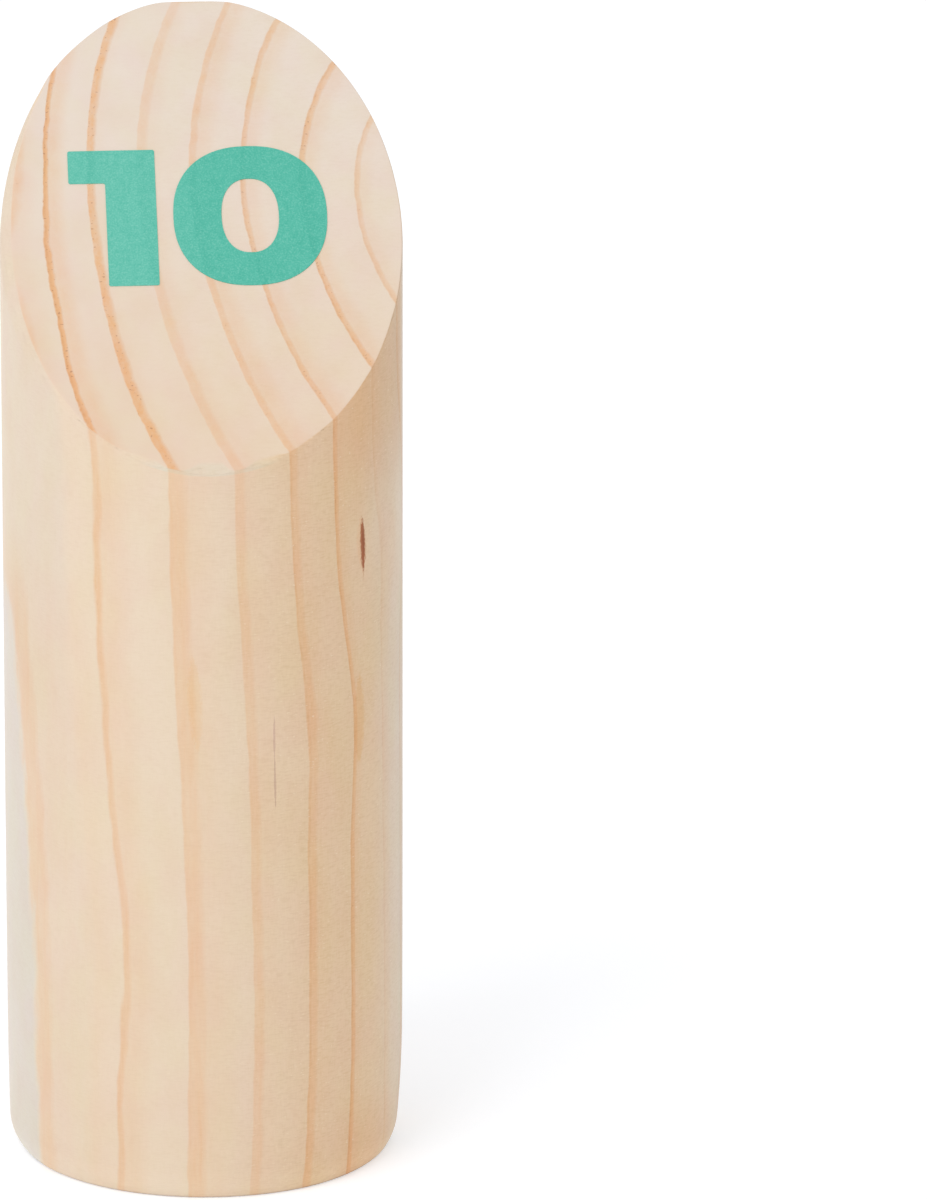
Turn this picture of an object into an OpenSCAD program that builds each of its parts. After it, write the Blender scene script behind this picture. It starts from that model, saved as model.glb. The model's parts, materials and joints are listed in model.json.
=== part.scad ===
// A numbered throwing-game pin: a turned softwood billet, cut off on a slope, with its number printed on the cut.
// Origin at the middle of the foot, +Z up, and the cut faces -Y.

/* [Billet] */
// Diameter of the turned billet
pin_d = 56; // [46:0.5:80]
// Height from the foot to the tip
pin_h = 159; // [130:1:220]
// Radius of the curve that draws the side in at the foot
foot_r = 6.5; // [5:0.5:14]
// How far the foot is drawn in, from the side to the edge of the flat that it stands on
foot_in = 1.6; // [0.4:0.1:4]

/* [Sloping cut] */
// Angle of the cut above the level
cut_angle = 43.5; // [30:0.5:55]
// How far the cut runs out on the end face, short of the back of the tip
tip_land = 0.5; // [0.2:0.1:4]

/* [Number] */
// Height of a digit, measured up the slope
digit_h = 22; // [12:0.5:28]
// How far the round digit passes the straight one, above and below
overshoot = 0.3; // [0:0.05:1]
// Clear space between the two digits
digit_gap = 2.3; // [0.5:0.1:5]
// Width of the one, from the flag's end to the stem
one_w = 12.1; // [10:0.1:16]
// Width of the one's stem
one_stem_w = 7; // [3:0.1:9]
// Height of the one's flag
one_flag_h = 5.3; // [2:0.1:8]
// Width of the zero
zero_w = 21.4; // [16:0.1:26]
// Width of the zero's stroke at its sides
zero_side_w = 6.7; // [2:0.1:7]
// Width of the zero's stroke at its top and bottom
zero_cap_w = 5.3; // [2:0.1:5.5]
// How squarely the zero's shoulders turn: 2 is an ellipse
zero_power = 2.3; // [2:0.1:4]
// Thickness of the paint
paint_t = 0.1; // [0.05:0.05:0.4]

/* [Place of the number] */
// Middle of the number above the middle of the cut, measured up the slope
number_rise = 2.6; // [-4:0.1:6]
// Middle of the number to the right of the middle of the cut
number_shift = -0.3; // [-4:0.1:4]
// How far the number is turned on the cut, anticlockwise
number_turn = 0.4; // [-5:0.1:5]

/* [Hidden] */
$fn = 96;

pin_r = pin_d / 2;
// Height at which the foot's curve runs out into the side
foot_h = sqrt(foot_in * (2 * foot_r - foot_in));
// Height at which the cut crosses the pin's axis
cut_mid_h = pin_h - (pin_r - tip_land) * tan(cut_angle);
// Corners of each of the zero's two outlines
OVAL_STEPS = 72;
// The whole number's width, and where each digit starts from its left end
number_w = one_w + digit_gap + zero_w;
one_x = -number_w / 2;
zero_x = one_x + one_w + digit_gap + zero_w / 2;

// Colours of the bare wood and of the paint
WOOD = [0.92, 0.82, 0.71];
PAINT = [0.38, 0.74, 0.65];

// An oval with squared shoulders: power 2 is an ellipse, and a higher power fills its corners
function shoulder(t, power) = sign(t) * pow(abs(t), 2 / power);
function squared_oval(w, h, power) =
    [for (i = [0 : OVAL_STEPS - 1])
        let (turn = 360 * i / OVAL_STEPS)
        [w / 2 * shoulder(cos(turn), power), h / 2 * shoulder(sin(turn), power)]];

// Half of the billet's section: its foot is drawn in along a true arc, which the flat cuts off at a crisp edge
module billet_section() {
    translate([0, foot_h])
        square([pin_r, pin_h - foot_h]);
    square([pin_r - foot_r, foot_h]);
    intersection() {
        translate([pin_r - foot_r, foot_h])
            circle(r = foot_r);
        square([pin_r, foot_h]);
    }
}

// Puts things drawn flat on the sloping cut: +X to the right, +Y up the slope, +Z out of the wood
module on_cut() {
    translate([0, 0, cut_mid_h])
        rotate([cut_angle, 0, 0])
            children();
}

// The wood above the cut, which the saw takes away
module offcut() {
    on_cut()
        translate([-pin_d, -2 * pin_d, 0])
            cube([2 * pin_d, 4 * pin_d, 2 * pin_d]);
}

// Lays a flat outline on the cut as a film of paint, in the number's own place
module painted() {
    on_cut()
        translate([number_shift, number_rise, 0])
            rotate([0, 0, number_turn])
                linear_extrude(height = paint_t)
                    children();
}

module pin_body() {
    color(WOOD)
        difference() {
            rotate_extrude()
                billet_section();
            offcut();
        }
}

// The one is a stem with a flag to its left, level with its top
module digit_one() {
    color(PAINT)
        painted()
            translate([one_x, -digit_h / 2]) {
                translate([one_w - one_stem_w, 0])
                    square([one_stem_w, digit_h]);
                translate([0, digit_h - one_flag_h])
                    square([one_w, one_flag_h]);
            }
}

// The zero is a ring between two ovals, heavier at its sides than at its top and bottom
module digit_zero() {
    zero_h = digit_h + 2 * overshoot;
    color(PAINT)
        painted()
            translate([zero_x, 0])
                difference() {
                    polygon(squared_oval(zero_w, zero_h, zero_power));
                    polygon(squared_oval(zero_w - 2 * zero_side_w, zero_h - 2 * zero_cap_w, zero_power));
                }
}

pin_body();
digit_one();
digit_zero();
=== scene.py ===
"""Looks of a numbered throwing-game pin: a turned billet with a teal number printed on its sloping cut.

Sizes in dataclass fields are in millimetres and degrees, as a joiner would write them. Meshes are made
in metres.
"""

import json
import logging
import math
from collections.abc import Callable
from dataclasses import dataclass
from enum import Enum
from functools import reduce
from typing import ClassVar

import bmesh
import bpy
from mathutils import Matrix, Vector

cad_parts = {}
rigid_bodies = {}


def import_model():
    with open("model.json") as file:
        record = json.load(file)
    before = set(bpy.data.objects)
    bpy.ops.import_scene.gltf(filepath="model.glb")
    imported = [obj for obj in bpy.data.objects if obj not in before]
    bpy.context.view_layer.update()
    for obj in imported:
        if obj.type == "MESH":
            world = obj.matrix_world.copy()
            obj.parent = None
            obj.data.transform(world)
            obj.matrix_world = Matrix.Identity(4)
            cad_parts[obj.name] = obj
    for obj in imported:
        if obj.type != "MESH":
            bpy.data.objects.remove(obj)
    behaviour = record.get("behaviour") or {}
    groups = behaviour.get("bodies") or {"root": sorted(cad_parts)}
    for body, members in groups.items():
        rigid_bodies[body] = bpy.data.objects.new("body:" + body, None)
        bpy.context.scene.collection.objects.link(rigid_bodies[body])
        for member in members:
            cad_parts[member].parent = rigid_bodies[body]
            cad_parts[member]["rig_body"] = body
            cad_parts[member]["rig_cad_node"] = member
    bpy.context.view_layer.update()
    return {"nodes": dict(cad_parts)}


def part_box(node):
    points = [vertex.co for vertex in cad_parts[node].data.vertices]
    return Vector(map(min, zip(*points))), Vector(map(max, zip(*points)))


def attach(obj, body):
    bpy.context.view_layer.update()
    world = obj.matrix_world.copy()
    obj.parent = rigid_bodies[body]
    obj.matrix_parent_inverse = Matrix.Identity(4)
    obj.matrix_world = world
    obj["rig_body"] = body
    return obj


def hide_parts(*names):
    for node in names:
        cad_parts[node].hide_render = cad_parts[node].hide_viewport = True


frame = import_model()

LOG = logging.getLogger("pin")
MM = 0.001
# Nearly all of Blender's noise lies between these two values, and its middle is halfway
NOISE_LOW, NOISE_MIDDLE, NOISE_HIGH = 0.3, 0.5, 0.7
# How far the middle of a quarter-round lies in from either face, as a share of its width
ROUND_MIDDLE = 0.293
# Within how many millimetres a point counts as on a plane or a surface: roughly, and closely
NEAR, CLOSE = 0.01, 0.001
# The same for a plane that cuts a mesh, in metres
CUT_CLOSE = 1e-7
# Blender's profile of a round bevel
ROUND_PROFILE = 0.5

Socket = bpy.types.NodeSocket
Value = Socket | float | tuple[float, ...]
Triple = tuple[float, float, float]
Span = tuple[float, float]


class Slot(Enum):
    """Material slots of the record, by name."""

    WOOD = "bare_softwood"
    PAINT = "teal_paint"


class Sort(Enum):
    """Kinds of group socket."""

    NUMBER = "NodeSocketFloat"
    POINT = "NodeSocketVector"


# Shapes


def only(piece: bpy.types.Object) -> None:
    """Leaves one piece selected and active.

    Args:
        piece: The piece.
    """
    bpy.ops.object.select_all(action="DESELECT")
    piece.select_set(True)
    bpy.context.view_layer.objects.active = piece


def choose(piece: bpy.types.Object, kind: str, wanted: Callable[[object], bool]) -> int:
    """Selects some of a mesh's parts in edit mode, and nothing else.

    Args:
        piece: The mesh object, in edit mode.
        kind: VERT, EDGE or FACE.
        wanted: Says of a part whether it is selected.

    Returns:
        How many parts were selected.
    """
    bpy.ops.mesh.select_mode(type=kind)
    bpy.ops.mesh.select_all(action="DESELECT")
    mesh = bmesh.from_edit_mesh(piece.data)
    parts = {"VERT": mesh.verts, "EDGE": mesh.edges, "FACE": mesh.faces}[kind]
    found = [part for part in parts if wanted(part)]
    for part in found:
        part.select = True
    mesh.select_flush_mode()
    bmesh.update_edit_mesh(piece.data)
    return len(found)


def smooth(share: float) -> float:
    """Eases a share in at 0 and out at 1, and holds it there beyond them."""
    held = min(max(share, 0.0), 1.0)
    return held * held * (3.0 - 2.0 * held)


def round_in(width: float, share: float) -> float:
    """How far in a quarter-round of this width lies, at this share of the way along it."""
    return width * (1 - math.sqrt(1 - (1 - share) ** 2))


# Node trees


class Graph:
    """Adds and links the nodes of one tree, so that a pattern reads like a formula."""

    def __init__(self, tree: bpy.types.NodeTree) -> None:
        """Starts on a node tree that is made elsewhere."""
        self.tree = tree

    def node(self, kind: str, **settings: object) -> bpy.types.Node:
        """Adds a node.

        Args:
            kind: Blender's name for this kind of node.
            settings: The properties to set on it, by name.

        Returns:
            The node.
        """
        made = self.tree.nodes.new(kind)
        for name, value in settings.items():
            setattr(made, name, value)
        return made

    def feed(self, socket: Socket, value: Value) -> None:
        """Links a value to a socket, or writes it there if it is a number or a tuple.

        Args:
            socket: The input socket.
            value: What it is given.
        """
        if isinstance(value, Socket):
            self.tree.links.new(value, socket)
        else:
            socket.default_value = value

    def fill(self, made: bpy.types.Node, *values: Value) -> bpy.types.Node:
        """Feeds a node's first inputs.

        Args:
            made: The node.
            values: What its inputs are given, in their order.

        Returns:
            The same node.
        """
        for socket, value in zip(made.inputs, values):
            self.feed(socket, value)
        return made

    def math(self, operation: str, *values: Value) -> Socket:
        """Works out one number from up to three."""
        return self.fill(self.node("ShaderNodeMath", operation=operation), *values).outputs[0]

    def total(self, *values: Value) -> Value:
        """Adds up several numbers."""
        return reduce(lambda first, second: self.math("ADD", first, second), values)

    def times(self, *values: Value) -> Value:
        """Multiplies several numbers."""
        return reduce(lambda first, second: self.math("MULTIPLY", first, second), values)

    def vector(self, operation: str, *values: Value) -> Socket:
        """Works out a vector, or for LENGTH and DOT_PRODUCT a number, from one or two vectors."""
        made = self.fill(self.node("ShaderNodeVectorMath", operation=operation), *values)
        return made.outputs["Value" if operation in ("LENGTH", "DOT_PRODUCT") else "Vector"]

    def split(self, point: Value) -> tuple[Socket, ...]:
        """Takes a vector apart into x, y and z."""
        return tuple(self.fill(self.node("ShaderNodeSeparateXYZ"), point).outputs)

    def join(self, x: Value, y: Value, z: Value) -> Socket:
        """Puts x, y and z together into a vector."""
        return self.fill(self.node("ShaderNodeCombineXYZ"), x, y, z).outputs[0]

    def ramp(self, value: Value, low: Value, high: Value, start: Value = 0.0, end: Value = 1.0) -> Socket:
        """Goes smoothly from start to end as a number goes from low to high."""
        made = self.node("ShaderNodeMapRange", interpolation_type="SMOOTHSTEP", clamp=True)
        return self.fill(made, value, low, high, start, end).outputs[0]

    def line(self, value: Value, low: Value, high: Value, start: Value = 0.0, end: Value = 1.0) -> Socket:
        """Goes evenly from start to end as a number goes from low to high."""
        made = self.node("ShaderNodeMapRange", interpolation_type="LINEAR", clamp=True)
        return self.fill(made, value, low, high, start, end).outputs[0]

    def noise(self, point: Value, lengths: Triple, detail: float = 2.0) -> Socket:
        """Adds noise from 0 to 1 about a middle of 0.5.

        Args:
            point: The shaded point, in millimetres.
            lengths: How long its patches are along x, y and z, in millimetres.
            detail: How many finer layers it has.

        Returns:
            The noise at the point.
        """
        made = self.node("ShaderNodeTexNoise", noise_dimensions="3D")
        self.feed(made.inputs["Vector"], self.vector("DIVIDE", point, lengths))
        made.inputs["Scale"].default_value = 1.0
        made.inputs["Detail"].default_value = detail
        return made.outputs["Fac"]

    def tint(self, colour: Value, other: Value, share: Value) -> Socket:
        """Multiplies a colour by another, as far as share says."""
        return self._blend("MULTIPLY", share, colour, other)

    def blend(self, colour: Value, other: Value, share: Value) -> Socket:
        """Goes from a colour to another, as far as share says."""
        return self._blend("MIX", share, colour, other)

    def _blend(self, how: str, share: Value, *colours: Value) -> Socket:
        """Lays one colour over another.

        Args:
            how: MULTIPLY or MIX.
            share: How far the second colour counts.
            colours: The two colours.

        Returns:
            The colour that results.
        """
        made = self.node("ShaderNodeMix", data_type="RGBA", blend_type=how)
        self.feed(made.inputs["Factor"], share)
        for socket, colour in zip((made.inputs[6], made.inputs[7]), colours):
            self.feed(socket, colour if isinstance(colour, Socket) else (*colour, 1.0))
        return made.outputs[2]

    def place(self, group: bpy.types.NodeTree, **given: Value) -> bpy.types.Node:
        """Places a group.

        Args:
            group: The node group.
            given: What its inputs are given, by name, with _ for each space.

        Returns:
            The placed group.
        """
        made = self.node("ShaderNodeGroup", node_tree=group)
        for name, value in given.items():
            self.feed(made.inputs[name.replace("_", " ")], value)
        return made


def new_group(name: str, takes: dict[str, Sort], gives: dict[str, Sort]) -> tuple[Graph, dict, dict]:
    """Makes an empty shader node group.

    Args:
        name: The group's name.
        takes: Its inputs, by name.
        gives: Its outputs, by name.

    Returns:
        A graph on the group, its input values by name and its output sockets by name.
    """
    tree = bpy.data.node_groups.new(name, "ShaderNodeTree")
    for socket, sort in takes.items():
        tree.interface.new_socket(name=socket, in_out="INPUT", socket_type=sort.value)
    for socket, sort in gives.items():
        tree.interface.new_socket(name=socket, in_out="OUTPUT", socket_type=sort.value)
    graph = Graph(tree)
    entry = graph.node("NodeGroupInput")
    leave = graph.node("NodeGroupOutput")
    return graph, {name: entry.outputs[name] for name in takes}, {name: leave.inputs[name] for name in gives}


# The growth of the wood


@dataclass(frozen=True)
class Swell:
    """A place where the growth rings bulge away from the pith, or dip towards it.

    Args:
        centre: Where the bulge is greatest, in the row frame.
        reach: How far it spreads across the trunk.
        push: How far the rings are moved towards the pith there.
    """

    # How many times as far it spreads along the trunk as across it
    ALONG: ClassVar[float] = 2.0

    centre: Triple
    reach: float
    push: float

    def at(self, point: Vector) -> float:
        """The push felt at a point.

        Args:
            point: The point, in millimetres.

        Returns:
            How far the rings are moved towards the pith.
        """
        away = point - Vector(self.centre)
        share = (away.x**2 + away.y**2) / self.reach**2 + (away.z / self.ALONG) ** 2 / self.reach**2
        return self.push * math.exp(-share)


@dataclass(frozen=True)
class Wander:
    """Small unevenness in where the rings run.

    Args:
        lengths: How long its waves are along x, y and z.
        amount: How far it moves a ring from side to side.
        detail: How many finer layers it has.
    """

    lengths: Triple
    amount: float
    detail: float = 2.0


@dataclass(frozen=True)
class Uneven:
    """Noise that makes a look stronger and weaker along the grain.

    Args:
        lengths: How long its patches are along x, y and z.
        least: What it multiplies by where it is weakest.
        most: What it multiplies by where it is strongest.
        detail: How many finer layers it has.
    """

    lengths: Triple
    least: float
    most: float
    detail: float = 2.0

    def at(self, graph: Graph, point: Value) -> Socket:
        """Places the noise, and gives what it multiplies by at a point."""
        noise = graph.noise(point, self.lengths, self.detail)
        return graph.line(noise, NOISE_LOW, NOISE_HIGH, self.least, self.most)


@dataclass(frozen=True)
class Band:
    """How a ring's latewood looks on one kind of surface.

    Args:
        strength: How strongly the dark band is coloured, 1 for the strongest.
        width: Width of the dark band, measured out from the pith.
        glow: How strongly the paler zone inside the band is coloured.
        reach: How far that zone spreads towards the pith.
        edge: Strength of the thin brown line along the band's sharp outer edge.
    """

    LOOKS: ClassVar[tuple[str, ...]] = ("strength", "width", "glow", "reach", "edge")

    strength: float
    width: float
    glow: float
    reach: float
    edge: float = 0.0


@dataclass(frozen=True)
class Ring:
    """One year's ring: its dark latewood ends outwards in a sharp edge.

    Args:
        radius: Distance of the sharp edge from the pith.
        cut: Its look on the sawn slope.
        side: Its look on the turned side.
        hard: Whether it withstood the sanding of the rim.
        fades: Height at which it starts to fade from the turned side, if it does.
        fades_over: How much higher none of it is left.
    """

    radius: float
    cut: Band
    side: Band
    hard: bool = True
    fades: float = math.inf
    fades_over: float = 20.0

    def looks(self, graph: Graph, height: Value) -> dict[str, Value]:
        """The ring's looks on both kinds of surface, as the ring group takes them.

        Args:
            graph: The graph that the group is placed in.
            height: Height of the shaded point.

        Returns:
            Each look by the name of its input.
        """
        kinds = {"Cut": self.cut, "Side": self.side}
        looks = {f"{kind}_{look}": getattr(band, look) for kind, band in kinds.items() for look in Band.LOOKS}
        if not math.isinf(self.fades):
            shown = graph.ramp(height, self.fades, self.fades + self.fades_over, 1.0, 0.0)
            looks |= {look: graph.times(looks[look], shown) for look in ("Side_strength", "Side_glow")}
        return looks


@dataclass(frozen=True)
class Trunk:
    """How the tree grew round this billet: the pith lies outside it, and the rings are shells about the pith.

    Args:
        pith: Where the pith stands at the level of the foot, to the right and to the back.
        lean_per_m: How far it leans the same two ways, over a metre of height.
        kink_height: Height at which it is bent aside.
        kink_reach: How far the bend spreads up and down.
        kink: How far it is bent aside.
        swells: Where the rings bulge or dip.
        rings: The rings, from the outermost inwards.
        wanders: The small unevenness of the rings.
        sharp: From where to where a band's sharp edge darkens, going inwards from the ring's radius.
        band_fall: From where to where a band fades inwards, as shares of its width.
        glow_start: Where the glow starts to fade, as a share of its reach.
        brown_fall: From where to where the thin brown line fades.
        fine, broad: How the latewood's strength varies.
        beads: How the brown line's strength varies.
        strongest: The most that the latewood's strength may come to.
        hard_width: Width of the wood inside a ring's sharp edge that is hard.
        hardens_over: Width over which the wood inside that goes from soft to hard.
        softens_over: Width over which the wood outside the sharp edge goes from hard to soft.
        last_year: How far the next ring would lie outside the outermost.
    """

    pith: tuple[float, float] = (35.3, 8.2)
    lean_per_m: tuple[float, float] = (6.0, -26.0)
    kink_height: float = 107.5
    kink_reach: float = 23.5
    kink: tuple[float, float] = (5.0, -7.0)
    swells: tuple[Swell, ...] = (
        Swell((18.5, -21.0, 67.0), 5.7, 1.6),
        Swell((27.5, -8.7, 92.0), 6.0, 5.1),
        Swell((-11.0, -26.5, 36.0), 7.5, 0.9),
        Swell((-27.0, -24.0, 118.0), 17.5, -3.8),
        Swell((-44.0, -2.5, 110.0), 11.0, -52.0),
        Swell((-31.0, -10.0, 80.0), 16.0, -0.6),
        Swell((-25.5, -12.0, 100.0), 7.0, -1.1),
        Swell((12.5, -19.0, -18.0), 13.0, -3.6),
        Swell((10.0, 26.5, 158.0), 9.0, -1.4),
        Swell((-28.5, -2.0, 131.0), 5.5, -1.5),
    )
    rings: tuple[Ring, ...] = (
        Ring(63.4, Band(0.55, 2.2, 0.2, 4.5), Band(0.4, 0.85, 0.16, 5.0), hard=False, fades=76.0),
        Ring(58.6, Band(1.05, 0.7, 0.33, 3.5, 0.55), Band(0.45, 0.6, 0.17, 3.0, 0.15)),
        Ring(52.68, Band(0.85, 1.1, 0.1, 3.0), Band(0.42, 1.9, 0.16, 6.0, 0.1)),
        Ring(45.75, Band(0.38, 1.5, 0.12, 4.0), Band(0.35, 1.3, 0.1, 4.0, 0.1)),
        Ring(38.5, Band(0.54, 1.1, 0.25, 4.5), Band(0.42, 1.3, 0.1, 4.0, 0.35)),
        Ring(31.4, Band(0.63, 0.85, 0.22, 3.5, 0.3), Band(0.55, 0.9, 0.15, 3.0, 0.5)),
        Ring(23.25, Band(0.72, 0.9, 0.22, 3.5, 0.45), Band(0.14, 0.9, 0.08, 3.0, 0.25)),
        Ring(15.65, Band(0.49, 0.8, 0.12, 3.0, 0.3), Band(0.3, 0.9, 0.1, 3.0, 0.3)),
    )
    wanders: tuple[Wander, ...] = (
        Wander((7.0, 7.0, 30.0), 0.25),
        Wander((2.4, 2.4, 7.0), 0.45, 1.0),
        Wander((0.7, 0.7, 2.5), 0.2),
    )
    sharp: Span = (-0.07, 0.17)
    band_fall: Span = (0.6, 1.4)
    glow_start: float = 0.35
    brown_fall: Span = (0.2, 0.5)
    fine: Uneven = Uneven((0.4, 0.4, 5.0), 0.88, 1.12)
    broad: Uneven = Uneven((2.0, 2.0, 16.0), 0.82, 1.18)
    beads: Uneven = Uneven((0.6, 0.6, 1.0), 0.4, 1.6, 1.0)
    strongest: float = 1.15
    hard_width: float = 1.0
    hardens_over: float = 2.5
    softens_over: float = 1.4
    last_year: float = 12.0

    def distance(self, point: Vector) -> float:
        """How far out from the pith a point grew.

        Args:
            point: The point, in millimetres.

        Returns:
            The distance, without the rings' small unevenness.
        """
        kinked = math.exp(-(((point.z - self.kink_height) / self.kink_reach) ** 2))
        x, y = (
            start + lean * point.z * MM + kink * kinked
            for start, lean, kink in zip(self.pith, self.lean_per_m, self.kink)
        )
        return math.hypot(point.x - x, point.y - y) + sum(swell.at(point) for swell in self.swells)

    def earlywood(self, point: Vector) -> float:
        """How soft the wood is at a point.

        Args:
            point: The point, in millimetres.

        Returns:
            0 on the hard latewood, and 1 well away from it.
        """
        distance = self.distance(point)
        radii = [ring.radius for ring in self.rings if ring.hard]
        outer = min((radius for radius in radii if radius >= distance), default=radii[0] + self.last_year)
        inner = max((radius for radius in radii if radius < distance), default=0.0)
        softened = smooth((distance - inner) / self.softens_over)
        return softened * smooth((outer - distance - self.hard_width) / self.hardens_over)

    def group(self) -> bpy.types.NodeTree:
        """Makes the node group that colours by growth ring.

        Returns:
            A group that takes a point in millimetres and how far the surface there was sawn across the
            grain, and gives the latewood's strength, the strength of its brown edge, and the distance
            from the pith.
        """
        graph, given, out = new_group(
            "growth_rings",
            {"Point": Sort.POINT, "Sawn": Sort.NUMBER},
            {"Latewood": Sort.NUMBER, "Edge": Sort.NUMBER, "Distance": Sort.NUMBER},
        )
        point, sawn = given["Point"], given["Sawn"]
        distance = self._distance(graph, point)
        ring_group = self._ring_group()
        height = graph.split(point)[2]
        shared = {"Distance": distance, "Sawn": sawn}
        placed = [
            graph.place(ring_group, Radius=ring.radius, **shared, **ring.looks(graph, height))
            for ring in self.rings
        ]
        dark = graph.total(*(ring.outputs["Latewood"] for ring in placed))
        brown = graph.total(*(ring.outputs["Edge"] for ring in placed))
        latewood = graph.times(dark, self.fine.at(graph, point), self.broad.at(graph, point))
        graph.feed(out["Latewood"], graph.math("MINIMUM", latewood, self.strongest))
        graph.feed(out["Edge"], graph.times(brown, self.beads.at(graph, point)))
        graph.feed(out["Distance"], distance)
        return graph.tree

    def _distance(self, graph: Graph, point: Value) -> Socket:
        """Works out the distance from the pith, with the rings' own small unevenness.

        Args:
            graph: The graph to work it out in.
            point: The shaded point, in millimetres.

        Returns:
            The distance.
        """
        x, y, z = graph.split(point)
        offset = graph.math("DIVIDE", graph.math("SUBTRACT", z, self.kink_height), self.kink_reach)
        kinked = graph.math("EXPONENT", graph.times(offset, offset, -1.0))
        away = []
        for axis, start, lean, kink in zip((x, y), self.pith, self.lean_per_m, self.kink):
            straight = graph.math("MULTIPLY_ADD", z, lean * MM, start)
            away.append(graph.math("SUBTRACT", axis, graph.math("MULTIPLY_ADD", kinked, kink, straight)))
        distance = graph.vector("LENGTH", graph.join(*away, 0.0))
        swell_group = self._swell_group()
        for swell in self.swells:
            reach = (swell.reach, swell.reach, swell.ALONG * swell.reach)
            felt = graph.place(swell_group, Point=point, Centre=swell.centre, Reach=reach, Push=swell.push)
            distance = graph.total(distance, felt.outputs[0])
        for wander in self.wanders:
            noise = graph.noise(point, wander.lengths, wander.detail)
            aside = graph.math("SUBTRACT", noise, NOISE_MIDDLE)
            distance = graph.math("MULTIPLY_ADD", aside, wander.amount, distance)
        return distance

    def _swell_group(self) -> bpy.types.NodeTree:
        """Makes the group that gives one swell's push at a point.

        Returns:
            The group.
        """
        takes = {"Point": Sort.POINT, "Centre": Sort.POINT, "Reach": Sort.POINT, "Push": Sort.NUMBER}
        graph, given, out = new_group("swell", takes, {"Push": Sort.NUMBER})
        away = graph.vector("SUBTRACT", given["Point"], given["Centre"])
        away = graph.vector("DIVIDE", away, given["Reach"])
        share = graph.times(graph.vector("DOT_PRODUCT", away, away), -1.0)
        graph.feed(out["Push"], graph.times(graph.math("EXPONENT", share), given["Push"]))
        return graph.tree

    def _ring_group(self) -> bpy.types.NodeTree:
        """Makes the group that colours one ring: nothing outside its sharp edge, then the band and the glow.

        Returns:
            The group.
        """
        kinds = (f"{kind} {look}" for kind in ("Cut", "Side") for look in Band.LOOKS)
        takes = dict.fromkeys(("Distance", "Radius", "Sawn", *kinds), Sort.NUMBER)
        graph, given, out = new_group("growth_ring", takes, {"Latewood": Sort.NUMBER, "Edge": Sort.NUMBER})
        strength, width, glow, reach, edge = (
            graph.line(given["Sawn"], 0.0, 1.0, given[f"Side {look}"], given[f"Cut {look}"])
            for look in Band.LOOKS
        )
        inward = graph.math("SUBTRACT", given["Radius"], given["Distance"])
        sharp = graph.ramp(inward, *self.sharp)
        fall = (graph.times(width, share) for share in self.band_fall)
        band = graph.times(graph.ramp(inward, *fall, 1.0, 0.0), strength)
        zone = graph.ramp(inward, graph.times(reach, self.glow_start), reach, 1.0, 0.0)
        dark = graph.math("MAXIMUM", band, graph.times(zone, glow))
        graph.feed(out["Latewood"], graph.times(sharp, dark))
        brown = graph.times(graph.ramp(inward, *self.brown_fall, 1.0, 0.0), edge)
        graph.feed(out["Edge"], graph.times(sharp, brown))
        return graph.tree


# Finishes


@dataclass(frozen=True)
class Mark:
    """One kind of mark in the wood.

    Args:
        name: What its mask is called.
        lengths: How long the marks are along x, y and z.
        detail: How many finer layers they have.
        shift: How far its pattern is moved, so that it matches no other kind's.
    """

    name: str
    lengths: Triple
    detail: float
    shift: Triple = (0.0, 0.0, 0.0)


@dataclass(frozen=True)
class Marks:
    """Fine marks that turning, sanding and the fibres leave in the wood, and the slow drift of its colour.

    Args:
        kinds: Each kind of mark.
    """

    kinds: tuple[Mark, ...] = (
        Mark("Fibre", (0.22, 0.22, 1.2), 1.0),
        Mark("Turning", (1.1, 1.1, 0.22), 1.0),
        Mark("Fleck", (0.45, 0.45, 0.22), 0.0),
        Mark("Cloud", (6.0, 6.0, 14.0), 4.0),
        Mark("Blush", (5.0, 5.0, 7.0), 4.0, (40.0, 70.0, 110.0)),
    )

    def group(self) -> bpy.types.NodeTree:
        """Makes the node group of the marks.

        Returns:
            A group that takes a point in millimetres, and gives each kind's mask by name, from 0 to 1
            about a middle of 0.5.
        """
        gives = {mark.name: Sort.NUMBER for mark in self.kinds}
        graph, given, out = new_group("wood_marks", {"Point": Sort.POINT}, gives)
        for mark in self.kinds:
            moved = graph.vector("ADD", given["Point"], mark.shift)
            graph.feed(out[mark.name], graph.noise(moved, mark.lengths, mark.detail))
        return graph.tree


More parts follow.
